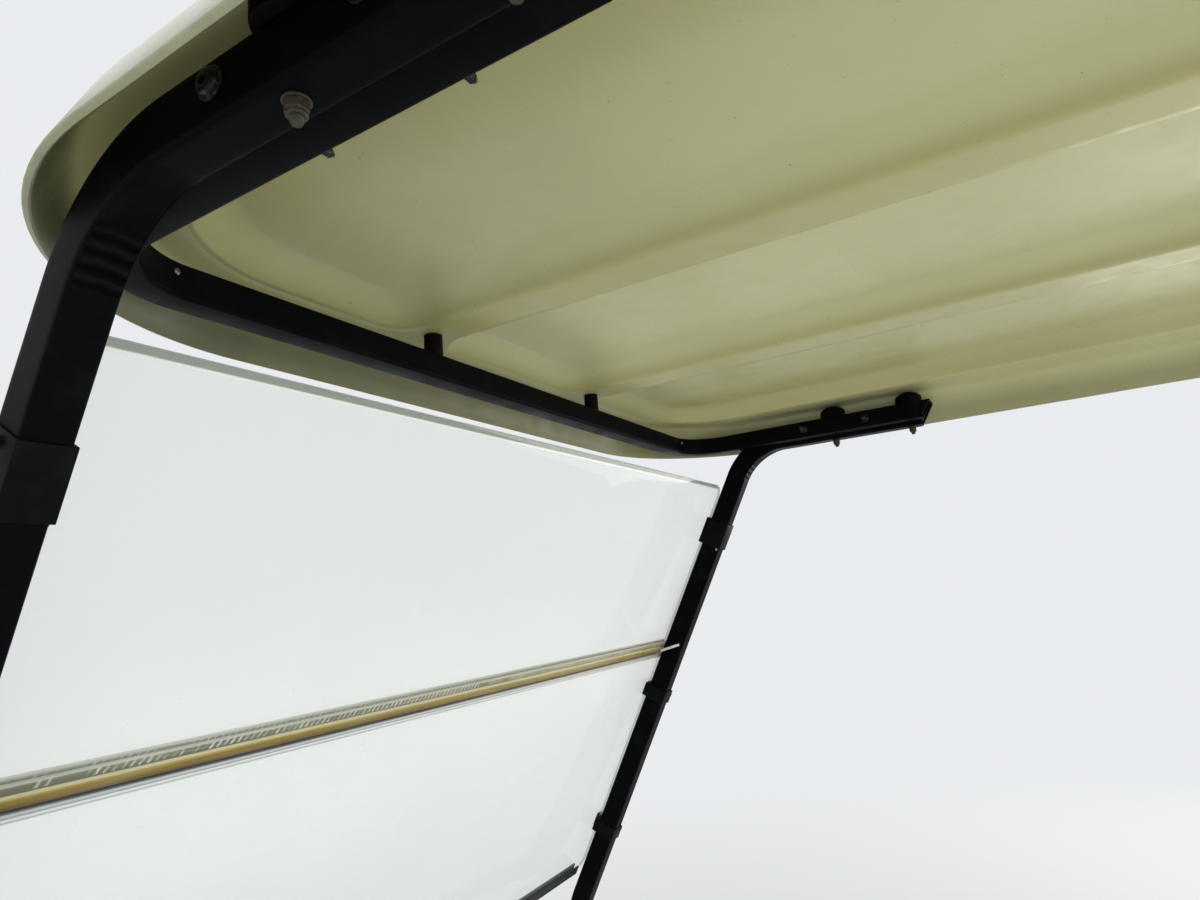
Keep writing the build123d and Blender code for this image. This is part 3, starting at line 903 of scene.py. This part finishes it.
def make_roof():
    """The roof's outer skin, whose wall modifier grows inwards.

    The flange is filled between the roof's outline and the feet of its raised panels, and from
    there each contour is extruded step by step along its profile.
    """
    bm = bmesh.new()
    middle = Vector((0, ROOF_MID_Y))
    place = Matrix.Translation((0, ROOF_MID_Y, FLANGE_TOP))
    rim = outline(bm, place, 2 * FLAT_HALF_X, 2 * FLAT_HALF_Y, FLAT_CORNER, segments=26)
    move_contour(rim, middle, -FLANGE_RIM)
    panels = [panel_contour(bm, *panel) for panel in PANELS]
    feet = [edge for edges, _ in panels for edge in edges]
    bmesh.ops.triangle_fill(bm, use_beauty=True, edges=rim + feet, normal=(0, 0, 1))

    for edges, centre in panels:
        steps = zip([(-FLANGE_RIM - PANEL_FOOT, 0), *PANEL_PROFILE], PANEL_PROFILE)
        top = grow(bm, edges, centre, [(a[0] - b[0], b[1] - a[1]) for a, b in steps])
        bmesh.ops.contextual_create(bm, geom=top)

    moves = [(FLANGE_RIM, 0)]
    out = down = 0.0
    for step in range(1, ROUND_STEPS + 1):
        turn = (pi / 2 - LIP_DRAFT) * step / ROUND_STEPS
        moves.append((ROOF_EDGE_R * sin(turn) - out, down - ROOF_EDGE_R * (1 - cos(turn))))
        out, down = ROOF_EDGE_R * sin(turn), ROOF_EDGE_R * (1 - cos(turn))
    drop = FLANGE_TOP - LIP_Z - down
    moves += [(drop * tan(LIP_DRAFT) / LIP_STEPS, -drop / LIP_STEPS)] * LIP_STEPS
    grow(bm, rim, middle, moves)
    bmesh.ops.recalc_face_normals(bm, faces=bm.faces)
    if max(bm.faces, key=lambda f: f.calc_center_median().z).normal.z < 0:
        bmesh.ops.reverse_faces(bm, faces=bm.faces)
    return bm


roof = finish_piece(
    "roof_panel", make_roof(), "roof_plastic", ["roof_shell"],
    [ROOF_OUTSIDE, ROOF_UNDERSIDE, ROOF_RIM], smooth=60,
)
wall = roof.modifiers.new("wall", "SOLIDIFY")
wall.thickness = ROOF_WALL
wall.offset = -1
wall.use_even_offset = True
wall.material_offset = 1
wall.material_offset_rim = 2
eased = roof.modifiers.new("eased_rim", "BEVEL")
eased.width = 0.0016
eased.segments = 3
eased.limit_method = "ANGLE"
eased.angle_limit = radians(60)


# Struts and rails
FINE_BEND_STEP = radians(0.65)
# Along the inner side of a bend: start, length of the rise, end and length of the fall
FLATTENED = (-0.004, 0.020, 0.094, 0.030)
FOLDED = (-0.001, 0.006, 0.052, 0.026)
FLATTENED_BY = 0.0012
FOLD_PITCH = 0.0086
FOLD_DEPTH = 0.0008


def smooth_step(share):
    share = min(max(share, 0), 1)
    return share * share * (3 - 2 * share)


def rise_and_fall(run, start, rise, end, fall):
    """0 before the start and past the end, 1 between, with smooth slopes."""
    return smooth_step((run - start) / rise) * smooth_step((end - run) / fall)


def wrinkle_bend(bm, centre, radius):
    """Flattens the inner side of a strut's bend a little and presses small folds into it."""
    fold_mark = bm.verts.layers.float.new("fold")
    inner = radius - STRUT_DEPTH / 2
    for v in bm.verts:
        arm = Vector(((v.co - centre) @ OUT_SLOPE, (v.co - centre) @ UP_SLOPE))
        angle = Vector((1, 0)).angle_signed(arm)
        # Only points on the bend's inner side move
        if arm.length > inner + 0.0005 or arm.length < inner - 0.01 or not -0.06 < -angle < 1.1:
            continue
        run = -angle * inner
        wander = 0.0005 * sin(v.co.x * 260) + 0.0003 * sin(v.co.x * 610 + run * 300)
        fold = cos(2 * pi * (run + wander) / FOLD_PITCH) * rise_and_fall(run, *FOLDED)
        # The fold layer also drives the powder coat's painted highlight and painted shade
        v[fold_mark] = fold
        outwards = FLATTENED_BY * rise_and_fall(run, *FLATTENED) - fold * FOLD_DEPTH
        v.co += (v.co - centre).normalized() * outwards


def strut(path, run, bend, wrinkled):
    """One strut. The path ends at its arm's tip, which is cut back underneath."""
    tip = Vector(path[-1])
    spare = tip + Vector((0, run * SPARE_TIP, 0))
    bm = tube_skin(
        [*path[:-1], spare], bend, STRUT_WIDTH, STRUT_DEPTH, FINE_BEND_STEP, cuts=7
    )
    if wrinkled:
        bend_reach = bend * tan((pi / 2 - LEAN) / 2)
        start = Vector(path[2]) - UP_SLOPE * bend_reach
        wrinkle_bend(bm, start - OUT_SLOPE * bend, bend)
    slant_tip(bm, tip, run, STRUT_DEPTH)
    give_wall(bm, TUBE_WALL)
    return bm


def front_strut(side):
    x = side * STRUT_X
    path = [
        (x, 0, FOOT_PLATE), (x, 0, KNEE_Z), (x, FRONT_CORNER_Y, ARM_Z),
        (x, FRONT_CORNER_Y + ARM_LENGTH, ARM_Z),
    ]
    return strut(path, run=1, bend=FRONT_BEND, wrinkled=True)


def rear_strut(side):
    x = side * STRUT_X
    path = [
        (x, REAR_FOOT_Y, REAR_FOOT_Z + FOOT_PLATE), (x, REAR_FOOT_Y, REAR_KNEE_Z),
        (x, REAR_CORNER_Y, ARM_Z), (x, REAR_CORNER_Y - ARM_LENGTH, ARM_Z),
    ]
    return strut(path, run=-1, bend=REAR_BEND, wrinkled=False)


def rail(rail_y, corner_y, run):
    """A U of square tube: one cross tube, and two legs inside the struts' arms."""
    leg_x = STRUT_X - STRUT_WIDTH / 2 - RAIL_SIZE / 2
    tip_y = corner_y + run * ARM_LENGTH
    spare_y = tip_y + run * SPARE_TIP
    bm = tube_skin(
        [(-leg_x, spare_y, RAIL_Z), (-leg_x, rail_y, RAIL_Z),
         (leg_x, rail_y, RAIL_Z), (leg_x, spare_y, RAIL_Z)],
        RAIL_BEND, RAIL_SIZE, RAIL_SIZE,
    )
    for x in (-leg_x, leg_x):
        slant_tip(bm, Vector((x, tip_y, RAIL_Z)), run, RAIL_SIZE)
    give_wall(bm, TUBE_WALL)
    return bm


# Where the rail and the struts' corners are, which way the arms run, a strut, a foot's place
FRAME_ENDS = {
    "front": (FRONT_RAIL_Y, FRONT_CORNER_Y, 1, front_strut, (0, 0)),
    "rear": (REAR_RAIL_Y, REAR_CORNER_Y, -1, rear_strut, (REAR_FOOT_Y, REAR_FOOT_Z)),
}
for end, (rail_y, corner_y, run, make_strut, foot_at) in FRAME_ENDS.items():
    finish_piece(
        f"{end}_rail_tube", rail(rail_y, corner_y, run), "frame_paint", [f"{end}_rail"]
    )
    for side_name, side in SIDES.items():
        finish_piece(
            f"{end}_strut_tube_{side_name}", make_strut(side), "frame_paint",
            [f"{end}_strut_{side_name}"],
        )
        foot_name = f"{end}_foot_{side_name}"
        finish_piece(foot_name, foot(side * STRUT_X, *foot_at), "frame_paint")


# What stands between the frame and the roof, with the bolts through it
UP = (0, 0, 1)
DOWN = (0, 0, -1)
SIDE_HEAD = Matrix.Diagonal((1, 1, 0.7, 1))     # a side bolt's head is flatter than a clip screw's


def post_profile(rise):
    """A round post with eased ends and a groove near its top."""
    groove = POST_R - 0.0006
    return [
        (0, 0), (POST_R - 0.0008, 0), (POST_R, 0.0008), (POST_R, rise - 0.0050),
        (groove, rise - 0.0042), (groove, rise - 0.0034), (POST_R, rise - 0.0026),
        (POST_R, rise - 0.0006), (groove, rise), (0, rise),
    ]


def spacer_profile(rise):
    """A round spacer that narrows towards the roof."""
    return [
        (0, 0), (SPACER_R - 0.0022, 0), (SPACER_R - 0.0006, 0.0008), (SPACER_R, 0.0024),
        (SPACER_R, rise - 0.0105), (SPACER_R - 0.0010, rise - 0.0070),
        (SPACER_R - 0.0040, rise - 0.0044), (SPACER_R - 0.0085, rise - 0.0022),
        (SPACER_R - 0.0145, rise - 0.0005), (0.0030, rise), (0, rise),
    ]


for end, (rail_y, *_) in FRAME_ENDS.items():
    bm = bmesh.new()
    foot_z = RAIL_Z + RAIL_SIZE / 2
    for x in (-POST_X, POST_X):
        turned(bm, facing((x, rail_y, foot_z), UP), post_profile(SEAT_Z - foot_z))
    finish_piece(f"{end}_rail_posts", seal_turned(bm), "black_plastic", [f"{end}_posts"])

for side_name, side in SIDES.items():
    x = side * STRUT_X
    spacers = bmesh.new()
    side_bolts = bmesh.new()
    nuts = bmesh.new()
    caps = bmesh.new()
    arm_top = ARM_Z + STRUT_DEPTH / 2
    for rail_y, corner_y, run, *_ in FRAME_ENDS.values():
        for station in ROOF_BOLTS:
            y = corner_y + run * station
            turned(spacers, facing((x, y, arm_top), UP), spacer_profile(SEAT_Z - arm_top), steps=48)
            add_nut(nuts, facing((x, y, ARM_Z - STRUT_DEPTH / 2), DOWN))
            add_cap(caps, facing((x, y, FLANGE_TOP), UP))
        for station in SIDE_BOLTS:
            y = corner_y + run * station
            head = facing((x + side * STRUT_WIDTH / 2, y, RAIL_Z), (side, 0, 0))
            add_socket_screw(side_bolts, head @ SIDE_HEAD)
            inner = x - side * (STRUT_WIDTH / 2 + RAIL_SIZE)
            add_screw_end(side_bolts, facing((inner, y, RAIL_Z), (-side, 0, 0)))
        add_cap(caps, facing((side * POST_X, rail_y, FLANGE_TOP), UP))
    finish_piece(
        f"arm_spacers_{side_name}", seal_turned(spacers), "black_plastic",
        [f"roof_spacers_{side_name}"],
    )
    finish_piece(
        f"arm_side_bolts_{side_name}", seal_turned(side_bolts), "zinc", materials=[BLACK_STEEL]
    )
    finish_piece(f"arm_nuts_{side_name}", seal_turned(nuts), "zinc")
    finish_piece(f"roof_cap_bolts_{side_name}", seal_turned(caps), "zinc")

# A small bright screw behind each bend of the rails
RAIL_SCREW = (0.4167, 0.0140, 0.0043)   # across, from the rail's centre line back and up
RAIL_SCREW_TURN = (0.211, 0.977)        # which way its head looks: inwards and back
RAIL_SCREW_SCALE = Matrix.Scale(0.62, 4)
for end, (rail_y, _, run, *_) in FRAME_ENDS.items():
    bm = bmesh.new()
    across, back, up = RAIL_SCREW
    inwards, backwards = RAIL_SCREW_TURN
    for side in SIDES.values():
        at = (side * across, rail_y + run * back, RAIL_Z + up)
        place = facing(at, (-side * inwards, run * backwards, 0)) @ RAIL_SCREW_SCALE
        turned(bm, place, [
            (0.0020, -0.0020), (0.0034, -0.0002), (0.0038, 0.0004), (0.0036, 0.0012),
            (0.0026, 0.0019), (0.0012, 0.0022), (0.0010, 0.0012), (0, 0.0010),
        ], steps=24)
    finish_piece(f"{end}_rail_screws", seal_turned(bm), "zinc", materials=[BRIGHT_STEEL])

# Windshield sheets with eased edges
for level, body in (("lower", "canopy"), ("upper", "upper_windshield")):
    bm = from_node(f"windshield_{level}")
    for face in bm.faces:
        clear = face.calc_area() > 0.1
        face.material_index = 0 if clear else 1
    round_edges(bm, sharp_edges(bm), offset=0.0005)
    finish_piece(
        f"sheet_{level}", bm, "clear_sheet", [f"windshield_{level}"], [ACRYLIC, ACRYLIC_EDGE],
        body,
    )


# The fold: two vinyl channels with fine ridges along them
RIDGE = 0.0009


def slope_point(x, up, out):
    """A point by its distances up and out from the struts' knees."""
    return Vector((x, 0, KNEE_Z)) + UP_SLOPE * up + OUT_SLOPE * out


def add_ridge(bm, up, out):
    """A thin rounded ridge along the whole channel."""
    turn = Matrix((ACROSS, UP_SLOPE, OUT_SLOPE)).transposed().to_4x4()
    size = Matrix.Diagonal((2 * SHEET_HALF, RIDGE, RIDGE, 1))
    place = Matrix.Translation(slope_point(0, up, out)) @ turn @ size
    made = bmesh.ops.create_cube(bm, size=1, matrix=place)["verts"]
    lengthwise = [e for e in edges_of(made) if e.calc_length() > SHEET_HALF]
    round_edges(bm, lengthwise, RIDGE * 0.3)


CHANNEL_WALL = 0.0022
CHANNEL_REAR = SHEET_OUT - CHANNEL_WALL
CHANNEL_FRONT = SHEET_OUT + SHEET_T + CHANNEL_WALL
# Each channel's body and slot, and where its ridges run above the seam
FOLDS = {
    "lower": ("canopy", "clear_strip", (-0.0016, -0.0048, -0.0084)),
    "upper": ("upper_windshield", "amber_strip", (0.0018, 0.0098, 0.0118, 0.0184)),
}
for level, (body, slot, ridges) in FOLDS.items():
    bm = eased_node(f"hinge_channel_{level}", offset=0.0004, angle=50)
    for rise in ridges:
        for out in (CHANNEL_REAR, CHANNEL_FRONT):
            add_ridge(bm, SEAM + rise, out)
    finish_piece(
        f"fold_strip_{level}", bm, slot, [f"hinge_channel_{level}"], body=body, smooth=50
    )

seal = eased_node("bottom_seal", offset=0.0009, segments=3)
finish_piece("sheet_foot_seal", seal, "seal_rubber", ["bottom_seal"])

# Clips on the front struts
CLIP_FACE_X = STRUT_X + 0.0153          # outer face of the clips and bands
SLEEVE_SCREWS = (-0.016, 0.016)         # from the clip's middle, along the strut
SLEEVE_SCREW_SCALE = 0.42
KNOB_OUT = -0.008                       # from the strut's centre line, towards the rear
HOOK_AT = (0.4866, 0.6705, -0.0128)     # its upper end: across, up the strut, out from it
HOOK_R = 0.0008
HOOK_BEND = 0.006375
HOOK_SWEEP = radians(75)


def hook(side):
    """A small pale hook that hangs from a sleeve clip on the strut's inner side."""
    bm = bmesh.new()
    across, up, out = HOOK_AT
    start = slope_point(side * across, up, out)
    circle = bmesh.ops.create_circle(
        bm, segments=10, radius=HOOK_R, matrix=facing(start, UP_SLOPE)
    )["verts"]
    first = edges_of(circle)
    spun = bmesh.ops.spin(
        bm, geom=first, cent=start + OUT_SLOPE * HOOK_BEND, axis=ACROSS, angle=HOOK_SWEEP,
        steps=10, use_merge=False,
    )
    for loop in (first, edges_in(spun["geom_last"])):
        bmesh.ops.edgeloop_fill(bm, edges=loop)
    bmesh.ops.recalc_face_normals(bm, faces=bm.faces)
    return bm


for side_name, side in SIDES.items():
    bm = eased_node(f"upper_clip_{side_name}", offset=0.0007, angle=50)
    for shift in SLEEVE_SCREWS:
        at = slope_point(side * CLIP_FACE_X, SLEEVE_MID + shift, 0)
        add_socket_screw(bm, facing(at, (side, 0, 0)), SLEEVE_SCREW_SCALE)
    finish_piece(f"sleeve_clip_{side_name}", bm, "black_plastic", [f"upper_clip_{side_name}"])
    finish_piece(f"sleeve_hook_{side_name}", hook(side), "white_plastic")
    for band, station in (("low", LOW_BAND), ("high", HIGH_BAND)):
        clip = f"band_clip_{band}_{side_name}"
        bm = eased_node(clip, offset=0.0006, angle=50)
        at = slope_point(side * CLIP_FACE_X, station, KNOB_OUT)
        add_knob(bm, facing(at, (side, 0, 0)))
        finish_piece(f"band_{band}_{side_name}", bm, "black_plastic", [clip])
    strap = f"seam_strap_{side_name}"
    bm = eased_node(strap, offset=0.0006)
    finish_piece(f"fold_strap_{side_name}", bm, "white_plastic", [strap])

# Camera: solved from straight edges in the photo, beside the left arm and under the roof
PHOTO_WIDTH = 1200
FOCAL_PIXELS = 735.33
SENSOR = 36.0
EYE = Vector((0.6806, 0.7763, 0.8414))
YAW = 1.0604
PITCH = 0.1962
ROLL = -0.0813


def make_camera():
    """Looks along yaw and pitch, rolled a little, through a lens of the photo's angle."""
    ahead = Vector((-sin(YAW) * cos(PITCH), -cos(YAW) * cos(PITCH), sin(PITCH)))
    level = ahead.cross(Vector(UP)).normalized()
    upright = level.cross(ahead)
    right = cos(ROLL) * level + sin(ROLL) * upright
    up = -sin(ROLL) * level + cos(ROLL) * upright
    data = bpy.data.cameras.new("camera")
    data.sensor_width = SENSOR
    data.lens = FOCAL_PIXELS / PHOTO_WIDTH * SENSOR
    data.clip_start = 0.01
    camera = bpy.data.objects.new("camera", data)
    turn = Matrix((right, up, -ahead)).transposed()
    camera.matrix_world = Matrix.Translation(EYE) @ turn.to_4x4()
    scene.collection.objects.link(camera)
    scene.camera = camera


make_camera()

# Floor, backdrop and light
BACKDROP = (0.82, 0.84, 0.86)
DAYLIGHT = (0.93, 0.96, 1.0)
DAYLIGHT_STRENGTH = 0.80
MIDDLE = (0, ROOF_MID_Y, 0.9)
FLOOR_HALF = 30.0
FLOOR_FADE = (0.9, 3.1)         # distances from the object between which the floor fades


def make_floor():
    """A pale floor that fades into the backdrop, so that no horizon shows."""
    bm = bmesh.new()
    bmesh.ops.create_grid(bm, x_segments=1, y_segments=1, size=FLOOR_HALF)
    mesh = bpy.data.meshes.new("floor")
    bm.to_mesh(mesh)
    bm.free()
    ground = Finish("pale_floor", roughness=0.9)
    ground.use(Base_Color=ground.mix(ground.noise(0.8), (0.80, 0.80, 0.78), (0.83, 0.83, 0.81)))
    away = ground.node(
        "ShaderNodeVectorMath", "Value", {"operation": "DISTANCE"},
        {0: ground.place, 1: (0, ROOF_MID_Y, 0)},
    )
    ground.blend(
        ground.between(away, *FLOOR_FADE) * ground.seen(),
        Value(ground, ground.shader.outputs[0]),
        ground.node("ShaderNodeEmission", "Emission", {}, {"Color": BACKDROP}),
        "Material Output",
    )
    mesh.materials.append(ground.material)
    floor = bpy.data.objects.new("floor", mesh)
    scene.collection.objects.link(floor)


def make_world():
    """Soft daylight on the object, and a plain pale backdrop for the camera and reflections."""
    world = bpy.data.worlds.new("studio")
    scene.world = world
    world.use_nodes = True
    sky = Graph(world.node_tree)
    daylight = sky.tree.nodes["Background"]
    sky.feed(daylight.inputs["Color"], DAYLIGHT)
    sky.feed(daylight.inputs["Strength"], DAYLIGHT_STRENGTH)
    sky.blend(
        sky.seen(),
        Value(sky, daylight.outputs[0]),
        sky.node("ShaderNodeBackground", "Background", {}, {"Color": BACKDROP}),
        "World Output",
    )


def area_light(name, at, size, power, colour):
    """A round lamp that looks at the object's middle. The camera doesn't see it."""
    data = bpy.data.lights.new(name, "AREA")
    data.shape = "DISK"
    data.size = size
    data.energy = power
    data.color = colour
    lamp = bpy.data.objects.new(name, data)
    turn = (Vector(MIDDLE) - Vector(at)).to_track_quat("-Z", "Y")
    lamp.matrix_world = Matrix.Translation(at) @ turn.to_matrix().to_4x4()
    lamp.visible_camera = False
    scene.collection.objects.link(lamp)


make_floor()
make_world()
area_light("key", (3.2, 2.6, 3.4), size=3.0, power=60, colour=(1.0, 0.98, 0.94))
area_light("rear", (0.5, 5.0, 0.6), size=2.4, power=90, colour=(1.0, 0.99, 0.93))
area_light("open_side", (-3.4, 2.2, 0.8), size=2.2, power=45, colour=(1.0, 0.99, 0.93))
